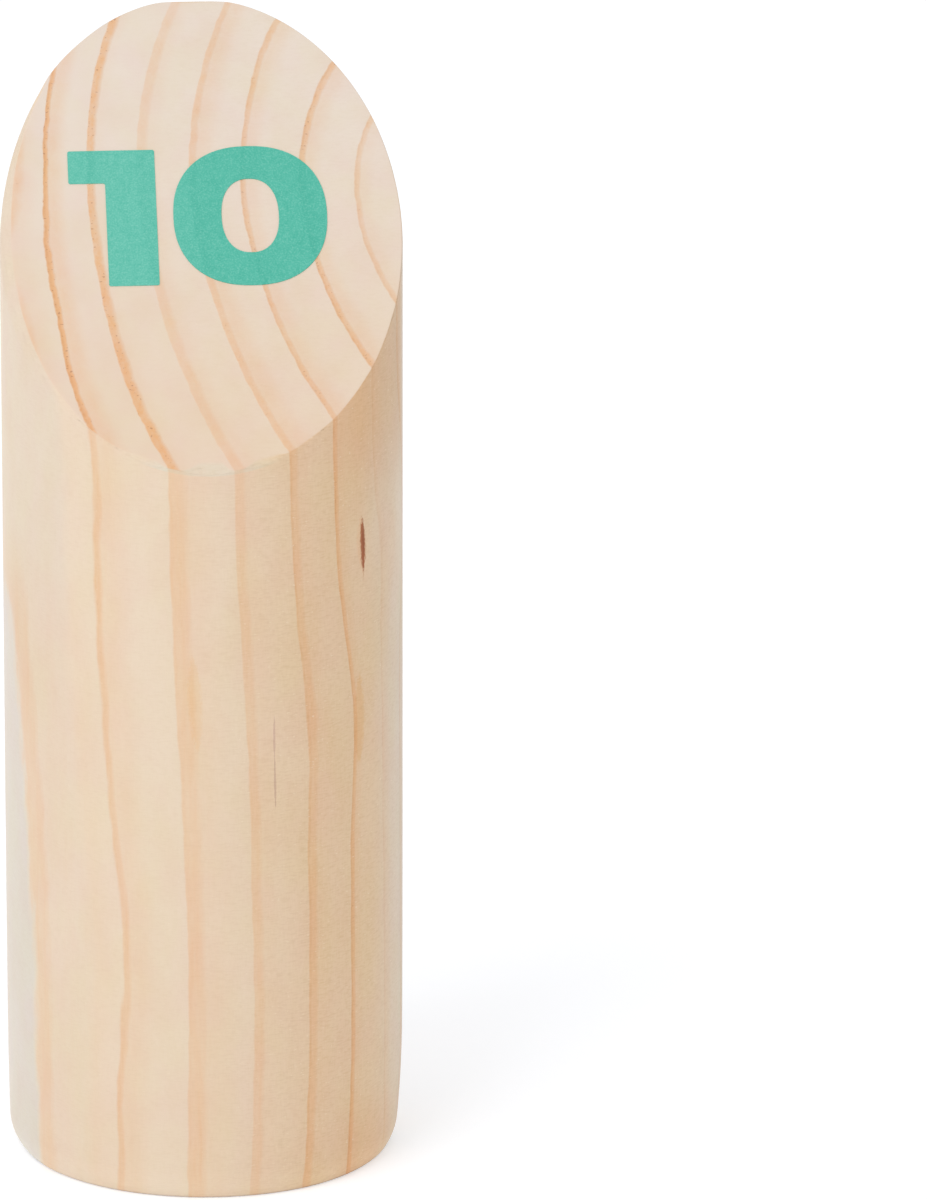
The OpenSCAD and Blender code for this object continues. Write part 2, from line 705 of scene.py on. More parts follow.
@dataclass(frozen=True)
class Streak:
    """A dark spindle of pitch along the grain, or a speck of it, on the turned side.

    Args:
        angle: Where it lies round the pin, 0 in front of the cut and positive to its right.
        height: Height of its middle.
        length: Its whole length, up the pin.
        width: Its greatest width.
        slant: How far it runs to the right, for each millimetre down.
        tint: What it multiplies the wood's colour by.
    """

    # How long the waves of its sides are, and how far they stray as a share of its width
    RAGGED_LENGTHS: ClassVar[Triple] = (0.2, 0.2, 0.5)
    RAGGED: ClassVar[float] = 0.7
    # From where to where its sides fade, as shares of its half width, and how thin its tails end
    SIDES: ClassVar[Span] = (0.6, 1.35)
    TAILS: ClassVar[Span] = (0.0, 0.35)
    # The least half width that anything is divided by
    THINNEST: ClassVar[float] = 0.001

    angle: float
    height: float
    length: float
    width: float
    slant: float
    tint: Triple

    def mask(self, graph: Graph, group: bpy.types.NodeTree, point: Value, radius: float) -> Socket:
        """Places the streak.

        Args:
            graph: The material's graph.
            group: The streaks' group.
            point: The shaded point, in millimetres.
            radius: Radius of the side that it lies on.

        Returns:
            How dark it is at the point.
        """
        turn = math.radians(self.angle)
        centre = (radius * math.sin(turn), -radius * math.cos(turn), self.height)
        sizes = {"Length": self.length, "Width": self.width, "Slant": self.slant}
        return graph.place(group, Point=point, Centre=centre, **sizes).outputs["Mask"]

    @classmethod
    def group(cls) -> bpy.types.NodeTree:
        """Makes the group that gives one streak's mask: a spindle with thin tails and uneven sides.

        Returns:
            The group.
        """
        takes = {"Point": Sort.POINT, "Centre": Sort.POINT}
        takes |= dict.fromkeys(("Length", "Width", "Slant"), Sort.NUMBER)
        graph, given, out = new_group("pitch_streak", takes, {"Mask": Sort.NUMBER})
        width = given["Width"]
        x, y, z = graph.split(graph.vector("SUBTRACT", given["Point"], given["Centre"]))
        x = graph.math("MULTIPLY_ADD", z, given["Slant"], x)
        across = graph.vector("LENGTH", graph.join(x, y, 0.0))
        ragged = graph.math("SUBTRACT", graph.noise(given["Point"], cls.RAGGED_LENGTHS), NOISE_MIDDLE)
        across = graph.total(across, graph.times(ragged, width, cls.RAGGED))
        along = graph.math("DIVIDE", graph.times(z, 2.0), given["Length"])
        taper = graph.math("MAXIMUM", graph.math("SUBTRACT", 1.0, graph.times(along, along)), 0.0)
        half = graph.math("MAXIMUM", graph.times(taper, width, 0.5), cls.THINNEST)
        body = graph.ramp(graph.math("DIVIDE", across, half), *cls.SIDES, 1.0, 0.0)
        graph.feed(out["Mask"], graph.times(body, graph.ramp(taper, *cls.TAILS)))
        return graph.tree


@dataclass(frozen=True)
class Zone:
    """Wood of one colour on the turned side, from some distance from the pith outwards.

    Args:
        colour: Its colour between the rings.
        starts: Distances from the pith over which it takes over from the wood inside it.
    """

    colour: Triple
    starts: Span


@dataclass(frozen=True)
class Shade:
    """How one kind of mark shades the wood.

    Args:
        mark: The kind of mark.
        seen: Values of its mask from which it starts to show and at which it shows in full.
        tint: What it multiplies the wood's colour by.
    """

    mark: str
    seen: Span
    tint: Triple


@dataclass(frozen=True)
class Softwood:
    """Bare sanded softwood: pale sapwood on the left of the side and warmer heartwood on the right, whose
    deeper tone there is partly painted shade.

    Args:
        name: The material's name.
        cut_high, cut_low: Colour of the sawn slope between the rings, at its top and at its low rim.
        cut_heights: Heights between which the one turns into the other.
        sawn_depth: Depths under the cut between which the sawn look ends.
        core: The turned side's colour nearest the pith, partly painted shade of the right side.
        zones: The side's other colours, from the pith outwards; those towards the pith are partly painted
            shade of the right side, and the greyer ones nearest it, at its far edge, partly painted sheen.
        fringe_low, fringe_high: The colour outside them all, low and high on the pin.
        fringe_starts, fringe_heights: Where that starts, and where the low one turns into the high one.
        outermost: The colour outside the outermost ring.
        outermost_starts: Where it starts, measured from that ring.
        behind, behind_heights: From where to where it is lost again, going back and going up.
        latewood_tint, edge_tint: What the rings' dark bands and brown lines multiply the colour by.
        rim_tint: What a strip does that sanding wore off the cut's low front.
        strip_top, strip_bottom, strip_front: Depths under the cut, and Y, between which the strip runs out.
        deep_right_and_shade_tint: What the colour is multiplied by on the right, under the cut and a little
            at the foot: partly the wood's deeper tone there, partly painted shade of the right side.
            deep_top, deep_foot, deep_right, deep_front: Heights, X and Y between which that sets in.
        deep_foot_share: How strong it is at the foot against under the cut.
        painted_foot_light, painted_foot_light_heights: A painted brightening of the foot that stands in for
        light thrown up from the floor, and over what height it fades.
        painted_base_shade, painted_base_shade_heights: A painted contact shade that darkens the edge of the
        flat, and over what height it fades.
        roughness, specular: How rough the surface is, and how strongly it reflects.
        warmth, marked: Distances from the pith between which the fine marks grow, and how strong they are.
        sawn_marked: How strong they are on the sawn slope against the side.
        rough_shades, soft_shades: The marks that come with roughness, and the slow drifts of colour.
        fleck, fleck_seen, fleck_share: Colour of the pale flecks, and how far they show.
        canal_tint, canal_seen, canal_latewood: The resin canals' dark dots, which lie in the latewood.
        relief_latewood: Strengths of the latewood between which it stands up.
        latewood_relief, fibre_relief, turning_relief: How high each stands up.
        streaks: The pitch streaks, warm blotches and specks.
    """

    name: str = "bare_softwood"
    cut_high: Triple = (0.749, 0.648, 0.556)
    cut_low: Triple = (0.751, 0.6, 0.461)
    cut_heights: Span = (103.0, 149.0)
    sawn_depth: Span = (0.015, 0.07)
    # Painted shade and sheen: the warmer, deeper colours towards the pith lie on the shaded right and are
    # partly painted shade; the greyer ones nearest it, at the far right edge, partly stand in for sheen
    # there.
    core: Triple = (0.74, 0.575, 0.415)
    zones: tuple[Zone, ...] = (
        Zone((0.65, 0.55, 0.44), (9.0, 12.5)),
        Zone((0.71, 0.588, 0.458), (14.5, 19.0)),
        Zone((0.758, 0.56, 0.373), (18.0, 28.0)),
        Zone((0.777, 0.633, 0.481), (35.0, 52.0)),
    )
    fringe_low: Triple = (0.768, 0.655, 0.522)
    fringe_high: Triple = (0.745, 0.625, 0.495)
    fringe_starts: Span = (60.0, 61.0)
    fringe_heights: Span = (50.0, 85.0)
    outermost: Triple = (0.708, 0.64, 0.563)
    outermost_starts: Span = (-0.1, 0.2)
    behind: Span = (0.0, 5.0)
    behind_heights: Span = (70.0, 98.0)
    latewood_tint: Triple = (1.0, 0.7, 0.46)
    edge_tint: Triple = (0.89, 0.8, 0.7)
    rim_tint: Triple = (0.94, 1.03, 1.08)
    strip_top: Span = (0.01, 0.06)
    strip_bottom: Span = (0.3, 0.45)
    strip_front: Span = (-26.0, -27.3)
    deep_right_and_shade_tint: Triple = (0.965, 0.83, 0.7)
    deep_top: Span = (94.0, 112.0)
    deep_foot: Span = (3.0, 15.0)
    deep_right: Span = (15.0, 22.0)
    deep_front: Span = (-3.0, -7.0)
    deep_foot_share: float = 0.55
    painted_foot_light: Triple = (1.1, 1.13, 1.14)
    painted_foot_light_heights: Span = (0.3, 5.0)
    painted_base_shade: Triple = (0.85, 0.85, 0.9)
    painted_base_shade_heights: Span = (0.15, 0.4)
    roughness: float = 0.6
    specular: float = 0.25
    warmth: Span = (55.0, 36.0)
    marked: Span = (0.3, 0.8)
    sawn_marked: float = 0.3
    rough_shades: tuple[Shade, ...] = (
        Shade("Fibre", (0.35, 0.7), (0.965, 0.95, 0.92)),
        Shade("Turning", (0.45, 0.72), (0.93, 0.9, 0.86)),
    )
    soft_shades: tuple[Shade, ...] = (
        Shade("Blush", (0.4, 0.65), (0.995, 0.965, 0.98)),
        Shade("Cloud", (0.4, 0.65), (0.985, 0.985, 0.935)),
    )
    fleck: Triple = (0.88, 0.75, 0.58)
    fleck_seen: Span = (0.74, 0.84)
    fleck_share: float = 0.45
    canal_tint: Triple = (0.72, 0.66, 0.68)
    canal_seen: Span = (0.3, 0.2)
    canal_latewood: Span = (0.45, 0.8)
    relief_latewood: Span = (0.1, 0.8)
    latewood_relief: float = 0.03
    fibre_relief: float = 0.006
    turning_relief: float = 0.01
    streaks: tuple[Streak, ...] = (
        Streak(49.5, 92.8, 9.0, 2.0, 0.07, (1.0, 0.92, 0.86)),
        Streak(50.1, 92.7, 9.4, 1.1, 0.07, (0.52, 0.27, 0.17)),
        Streak(50.5, 93.4, 7.0, 0.5, 0.07, (0.8, 0.76, 0.74)),
        Streak(50.2, 91.4, 15.5, 0.5, 0.07, (0.88, 0.78, 0.72)),
        Streak(48.4, 67.5, 14.0, 2.4, -0.02, (0.985, 0.91, 0.78)),
        Streak(-4.6, 73.0, 15.0, 1.8, 0.05, (1.0, 0.95, 0.87)),
        Streak(18.2, 67.5, 7.0, 0.32, 0.0, (0.84, 0.78, 0.82)),
        Streak(18.4, 61.0, 8.5, 0.32, 0.02, (0.8, 0.74, 0.78)),
        Streak(-46.4, 0.3, 0.5, 0.6, 0.0, (0.35, 0.3, 0.3)),
        Streak(7.2, 0.25, 0.5, 1.2, 0.0, (0.6, 0.25, 0.22)),
    )

    def material(self, trunk: Trunk, marks: Marks, billet: "Billet") -> bpy.types.Material:
        """Makes the wood's material.

        Args:
            trunk: How the tree grew.
            marks: The fine marks.
            billet: The billet, for the cut where the end grain shows and the sizes of the turned side.

        Returns:
            The material.
        """
        made, graph, shader = new_material(self.name, self.roughness, self.specular)
        point = millimetres(graph)
        x, y, height = graph.split(point)
        below = billet.cut.below(graph, point)
        sawn = graph.ramp(below, *self.sawn_depth, 1.0, 0.0)
        growth = graph.place(trunk.group(), Point=billet.spread(graph, point), Sawn=sawn)
        fine = graph.place(marks.group(), Point=point)
        distance, latewood = growth.outputs["Distance"], growth.outputs["Latewood"]
        side = self._side(graph, distance, y, height, trunk.rings[0].radius)
        slope = graph.blend(self.cut_low, self.cut_high, graph.ramp(height, *self.cut_heights))
        wood = graph.blend(side, slope, sawn)
        wood = graph.tint(wood, self.latewood_tint, latewood)
        wood = graph.tint(wood, self.edge_tint, growth.outputs["Edge"])
        wood = graph.tint(wood, self.rim_tint, self._worn_rim(graph, y, below))
        # Partly painted shade: deepens the colour on the shaded right, under the cut and a little at the
        # foot.
        wood = graph.tint(wood, self.deep_right_and_shade_tint, self._deep_right_and_shade(graph, x, y, height, sawn))
        warm = graph.ramp(distance, *self.warmth, *self.marked)
        rough = graph.times(warm, graph.line(sawn, 0.0, 1.0, 1.0, self.sawn_marked))
        wood = self._grain(graph, wood, fine, rough, latewood)
        streak_group = Streak.group()
        for streak in self.streaks:
            wood = graph.tint(wood, streak.tint, streak.mask(graph, streak_group, point, billet.radius))
        # Painted light: brightens the foot low down, standing in for light thrown up from the floor.
        wood = graph.tint(wood, self.painted_foot_light, graph.ramp(height, *self.painted_foot_light_heights, 1.0, 0.0))
        # Painted shade: darkens the edge of the flat, standing in for the contact shade where the foot meets
        # the floor.
        wood = graph.tint(wood, self.painted_base_shade, graph.ramp(height, *self.painted_base_shade_heights, 1.0, 0.0))
        graph.feed(shader.inputs["Base Color"], wood)
        relief = graph.total(
            graph.times(graph.ramp(latewood, *self.relief_latewood), self.latewood_relief),
            graph.times(fine.outputs["Fibre"], rough, self.fibre_relief),
            graph.times(fine.outputs["Turning"], rough, self.turning_relief),
        )
        emboss(graph, shader, relief)
        return made

    def _side(self, graph: Graph, distance: Value, y: Value, height: Value, outer: float) -> Socket:
        """Works out the turned side's colour between the rings.

        Args:
            graph: The material's graph.
            distance: Distance from the pith.
            y: Y of the shaded point.
            height: Its height.
            outer: Radius of the outermost ring.

        Returns:
            The colour.
        """
        side = self.core
        for zone in self.zones:
            side = graph.blend(side, zone.colour, graph.ramp(distance, *zone.starts))
        fringe = graph.blend(self.fringe_low, self.fringe_high, graph.ramp(height, *self.fringe_heights))
        side = graph.blend(side, fringe, graph.ramp(distance, *self.fringe_starts))
        lost = graph.times(graph.ramp(y, *self.behind), graph.ramp(height, *self.behind_heights))
        outside = graph.ramp(distance, *(outer + start for start in self.outermost_starts))
        return graph.blend(side, self.outermost, graph.times(outside, graph.math("SUBTRACT", 1.0, lost)))

    def _worn_rim(self, graph: Graph, y: Value, below: Value) -> Value:
        """How much the strip shows that sanding wore off the cut's low front."""
        strip = graph.ramp(below, *self.strip_top), graph.ramp(below, *self.strip_bottom, 1.0, 0.0)
        return graph.times(*strip, graph.ramp(y, *self.strip_front))

    def _deep_right_and_shade(self, graph: Graph, x: Value, y: Value, height: Value, sawn: Value) -> Value:
        """Works out how much deeper the colour is on the right, under the cut and a little at the foot:
        partly the wood's tone, partly painted shade.

        Args:
            graph: The material's graph.
            x: X of the shaded point.
            y: Its Y.
            height: Its height.
            sawn: How far the surface there was sawn.

        Returns:
            The share, 0 to 1.
        """
        foot = graph.ramp(height, *self.deep_foot, self.deep_foot_share, 0.0)
        ends = graph.total(graph.ramp(height, *self.deep_top), foot)
        right = graph.times(graph.ramp(x, *self.deep_right), graph.ramp(y, *self.deep_front))
        return graph.times(ends, right, graph.math("SUBTRACT", 1.0, sawn))

    def _grain(self, graph: Graph, wood: Value, fine: bpy.types.Node, rough: Value, latewood: Value) -> Value:
        """Lays the fine marks over the wood.

        Args:
            graph: The material's graph.
            wood: The colour so far.
            fine: The placed group of marks.
            rough: How strong the marks are.
            latewood: How strong the latewood is.

        Returns:
            The colour with the marks in it.
        """
        marks = fine.outputs
        for shade in self.rough_shades:
            seen = graph.line(marks[shade.mark], *shade.seen)
            wood = graph.tint(wood, shade.tint, graph.times(seen, rough))
        for shade in self.soft_shades:
            wood = graph.tint(wood, shade.tint, graph.line(marks[shade.mark], *shade.seen))
        pale = graph.times(graph.ramp(marks["Fleck"], *self.fleck_seen), rough, self.fleck_share)
        wood = graph.blend(wood, self.fleck, pale)
        canal = graph.ramp(marks["Fleck"], *self.canal_seen)
        return graph.tint(
            wood, self.canal_tint, graph.times(canal, graph.ramp(latewood, *self.canal_latewood))
        )


@dataclass(frozen=True)
class TealPaint:
    """A thin matt print, through which the rings show a little darker and the pores a little lighter.

    Args:
        name: The material's name.
        thin, thick: Its colour where it went on thinner and thicker.
        thickens: X between which it goes from thin to thick.
        ring_tint: What the rings under it multiply its colour by.
        pore_size, pore_detail: How large the pores are, and their finer layers.
        speck, speck_seen, speck_share: Colour of the pale specks in the pores, and how far they show.
        pore_tint, pore_seen, pore_share: The same of the dark ones.
        mottle_size, mottle_detail, mottle_seen, mottle_tint: The print's slow unevenness.
        fibre_seen, fibre_tint: The wood's fibres, as they show through.
        roughness, specular: How rough the surface is, and how strongly it reflects.
        relief: How high the latewood stands up under it.
    """

    name: str = "teal_paint"
    thin: Triple = (0.131, 0.512, 0.401)
    thick: Triple = (0.092, 0.471, 0.36)
    thickens: Span = (-9.0, 4.0)
    ring_tint: Triple = (0.8, 0.93, 0.92)
    pore_size: Triple = (0.24, 0.24, 0.24)
    pore_detail: float = 1.0
    speck: Triple = (0.28, 0.63, 0.52)
    speck_seen: Span = (0.5, 0.9)
    speck_share: float = 0.5
    pore_tint: Triple = (0.7, 0.89, 0.87)
    pore_seen: Span = (0.5, 0.15)
    pore_share: float = 0.9
    mottle_size: Triple = (0.9, 0.9, 1.4)
    mottle_detail: float = 3.0
    mottle_seen: Span = (0.4, 0.65)
    mottle_tint: Triple = (0.84, 0.95, 0.94)
    fibre_seen: Span = (0.35, 0.7)
    fibre_tint: Triple = (0.9, 0.97, 0.96)
    roughness: float = 0.6
    specular: float = 0.3
    relief: float = 0.03

    def material(self, trunk: Trunk, marks: Marks) -> bpy.types.Material:
        """Makes the print's material, from the same growth as the wood under it.

        Args:
            trunk: How the tree grew.
            marks: The fine marks.

        Returns:
            The material.
        """
        made, graph, shader = new_material(self.name, self.roughness, self.specular)
        point = millimetres(graph)
        latewood = graph.place(trunk.group(), Point=point, Sawn=1.0).outputs["Latewood"]
        fibre = graph.place(marks.group(), Point=point).outputs["Fibre"]
        x, _, _ = graph.split(point)
        paint = graph.blend(self.thin, self.thick, graph.ramp(x, *self.thickens))
        paint = graph.tint(paint, self.ring_tint, latewood)
        pores = graph.noise(point, self.pore_size, self.pore_detail)
        mottle = graph.noise(point, self.mottle_size, self.mottle_detail)
        paint = graph.blend(paint, self.speck, graph.line(pores, *self.speck_seen, 0.0, self.speck_share))
        paint = graph.tint(paint, self.pore_tint, graph.line(pores, *self.pore_seen, 0.0, self.pore_share))
        paint = graph.tint(paint, self.mottle_tint, graph.line(mottle, *self.mottle_seen))
        paint = graph.tint(paint, self.fibre_tint, graph.line(fibre, *self.fibre_seen))
        graph.feed(shader.inputs["Base Color"], paint)
        emboss(graph, shader, graph.times(latewood, self.relief))
        return made


def new_material(
    name: str, roughness: float = 0.5, specular: float = 0.5
) -> tuple[bpy.types.Material, Graph, bpy.types.Node]:
    """Makes a material with a plain surface shader.

    Args:
        name: The material's name.
        roughness: How rough its surface is, from 0 to 1.
        specular: How strongly it reflects, 0.5 for most things.

    Returns:
        The material, a graph on its nodes and its Principled BSDF.
    """
    made = bpy.data.materials.new(name)
    made.use_nodes = True
    made.node_tree.nodes.clear()
    graph = Graph(made.node_tree)
    shader = graph.node("ShaderNodeBsdfPrincipled")
    shader.inputs["Roughness"].default_value = roughness
    shader.inputs["Specular IOR Level"].default_value = specular
    output = graph.node("ShaderNodeOutputMaterial")
    graph.feed(output.inputs["Surface"], shader.outputs[0])
    return made, graph, shader


def millimetres(graph: Graph) -> Socket:
    """The shaded point in the row frame, in millimetres."""
    place = graph.node("ShaderNodeTexCoord")
    return graph.vector("DIVIDE", place.outputs["Object"], (MM, MM, MM))


def emboss(graph: Graph, shader: bpy.types.Node, relief: Value) -> None:
    """Gives a surface its fine relief.

    Args:
        graph: The material's graph.
        shader: Its Principled BSDF.
        relief: Height of the relief, in millimetres.
    """
    bump = graph.node("ShaderNodeBump")
    bump.inputs["Distance"].default_value = MM
    graph.feed(bump.inputs["Height"], relief)
    graph.feed(shader.inputs["Normal"], bump.outputs["Normal"])


# The pin


@dataclass(frozen=True)
class Cut:
    """The sloping cut, as a plane in the row frame.

    Args:
        height: Where it crosses the pin's axis.
        slope: Its angle above the level.
    """

    # How far up a face of the CAD node points if it may be the cut, and how high its middle is at least
    TILT: ClassVar[Span] = (0.3, 0.95)
    LOWEST: ClassVar[float] = 50.0

    height: float
    slope: float

    @property
    def rise(self) -> float:
        """How far it rises for each millimetre to the back."""
        return math.tan(math.radians(self.slope))

    @property
    def normal(self) -> Vector:
        """The way that the cut faces."""
        turn = math.radians(self.slope)
        return Vector((0.0, -math.sin(turn), math.cos(turn)))

    @property
    def middle(self) -> Vector:
        """Where it crosses the pin's axis."""
        return Vector((0.0, 0.0, self.height))

    def below(self, graph: Graph, point: Value) -> Socket:
        """How far a shaded point lies under the plane, in millimetres."""
        away = graph.vector("SUBTRACT", tuple(self.middle), point)
        return graph.vector("DOT_PRODUCT", away, tuple(self.normal))

    @classmethod
    def of(cls, node: bpy.types.Object) -> "Cut":
        """Reads the cut off the billet's CAD node: its largest face that is neither level nor upright.

        Args:
            node: The CAD node.

        Returns:
            The cut.
        """
        least, most = cls.TILT
        sloping = [face for face in node.data.polygons if least < face.normal.z < most]
        high = [face for face in sloping if face.center.z > cls.LOWEST * MM]
        face = max(high, key=lambda found: found.area)
        slope = math.degrees(math.acos(face.normal.z))
        height = (face.center.z - face.center.y * math.tan(math.radians(slope))) / MM
        return cls(height, slope)


@dataclass(frozen=True)
class Rim:
    """How far sanding has worn the rim: little on the hard latewood, more on the soft wood between.

    Args:
        hard: Width of the rounding on latewood.
        hard_left: How much wider it is at the left end of the cut.
        front: Width of the rounding between two rings, at the low front of the cut.
        left: The same at the left end of the cut.
        right: The same at the right end.
        back: The same at the tip.
        strip: How much farther it reaches over the cut than down the side, at the very front.
        ends_power: How closely the left and right widths keep to those ends.
        strip_power: How closely the strip keeps to the front.
        tip_drop: How far the rounding lowers the tip, for each millimetre of its width.
        tip_blend: How gradually the rounding widens towards the tip.
        rows: Distances of the mesh's rows from the rim, on the side and on the cut.
        reach: Distance from the rim that no row passes.
    """

    hard: float = 0.15
    hard_left: float = 0.5
    front: float = 0.3
    left: float = 1.9
    right: float = 0.25
    back: float = 0.15
    strip: float = 1.9
    ends_power: int = 4
    strip_power: int = 20
    tip_drop: float = 0.65
    tip_blend: float = 0.15
    rows: tuple[float, ...] = (0.04, 0.1, 0.18, 0.28, 0.4, 0.55, 0.75, 1.0, 1.3, 1.7, 2.2, 2.8)
    reach: float = 3.0

    def widths(self, trunk: Trunk, point: Vector, radius: float) -> tuple[float, float]:
        """Works out how widely the rim is worn beside a point.

        Args:
            trunk: How the tree grew.
            point: A point of the rim.
            radius: The billet's radius.

        Returns:
            The widths in from the rim on the cut, and down from it on the side.
        """
        across, along = point.x / radius, point.y / radius
        soft = across**self.ends_power * (self.right if across > 0 else self.left)
        soft += along**2 * (self.back if along > 0 else self.front)
        hard = self.hard + self.hard_left * min(across, 0.0) ** self.ends_power
        earlywood = trunk.earlywood(point)
        down = hard + max(soft - hard, 0.0) * earlywood
        return down + self.strip * earlywood * max(-along, 0.0) ** self.strip_power, down

    def at_tip(self, width: float, needed: float) -> float:
        """Widens a rounding smoothly where a wider one is needed."""
        return width + self.tip_blend * math.log1p(math.exp((needed - width) / self.tip_blend))


@dataclass(frozen=True)
class Foot:
    """The foot, drawn in along an arc that the flat cuts off at a crisp edge, and worn a little uneven.

    Args:
        radius: Radius of the arc.
        drawn_in: How far the arc draws the side in.
        steps: Rows along a quarter of the arc.
        chamfer: Width of the broken edge round the flat.
        chamfer_steps: Rows across it.
        off_centre: How far the arc's lower end lies off centre.
        ease: How far the side leans in above the arc, all round.
        right_ease: How much farther it leans in on the right.
        right_starts: How far to the right that starts, as a share of the radius.
        right_over: The further share over which it comes in full.
        ease_height: Height over which it leans in.
        ease_lowest: Height below which it leans in no further.
        kept: How far inside the flat's edge its points stay where they are.
    """

    radius: float
    drawn_in: float
    steps: int = 24
    chamfer: float = 0.2
    chamfer_steps: int = 3
    off_centre: tuple[float, float] = (0.25, -0.17)
    ease: float = 0.2
    right_ease: float = 0.75
    right_starts: float = 0.45
    right_over: float = 0.5
    ease_height: float = 18.0
    ease_lowest: float = 4.0
    kept: float = 1.0

    @property
    def height(self) -> float:
        """Height at which the arc runs out into the side."""
        return math.sqrt(self.drawn_in * (2 * self.radius - self.drawn_in))

    def worn(self, point: Vector, side: float) -> float:
        """Works out how far a point of the foot lies inside its true place.

        Args:
            point: The point, in millimetres.
            side: Radius of the side above the foot.

        Returns:
            How far it is moved towards the axis, in millimetres.
        """
        across = math.hypot(point.x, point.y)
        outward = point.x / across, point.y / across
        arc = min(max(side - across, 0.0), self.drawn_in) / self.drawn_in
        shift = -arc * (outward[0] * self.off_centre[0] + outward[1] * self.off_centre[1])
        share = max(1.0 - max(point.z, self.ease_lowest) / self.ease_height, 0.0) ** 2
        right = smooth((outward[0] - self.right_starts) / self.right_over)
        return shift + share * (self.ease + self.right_ease * right)


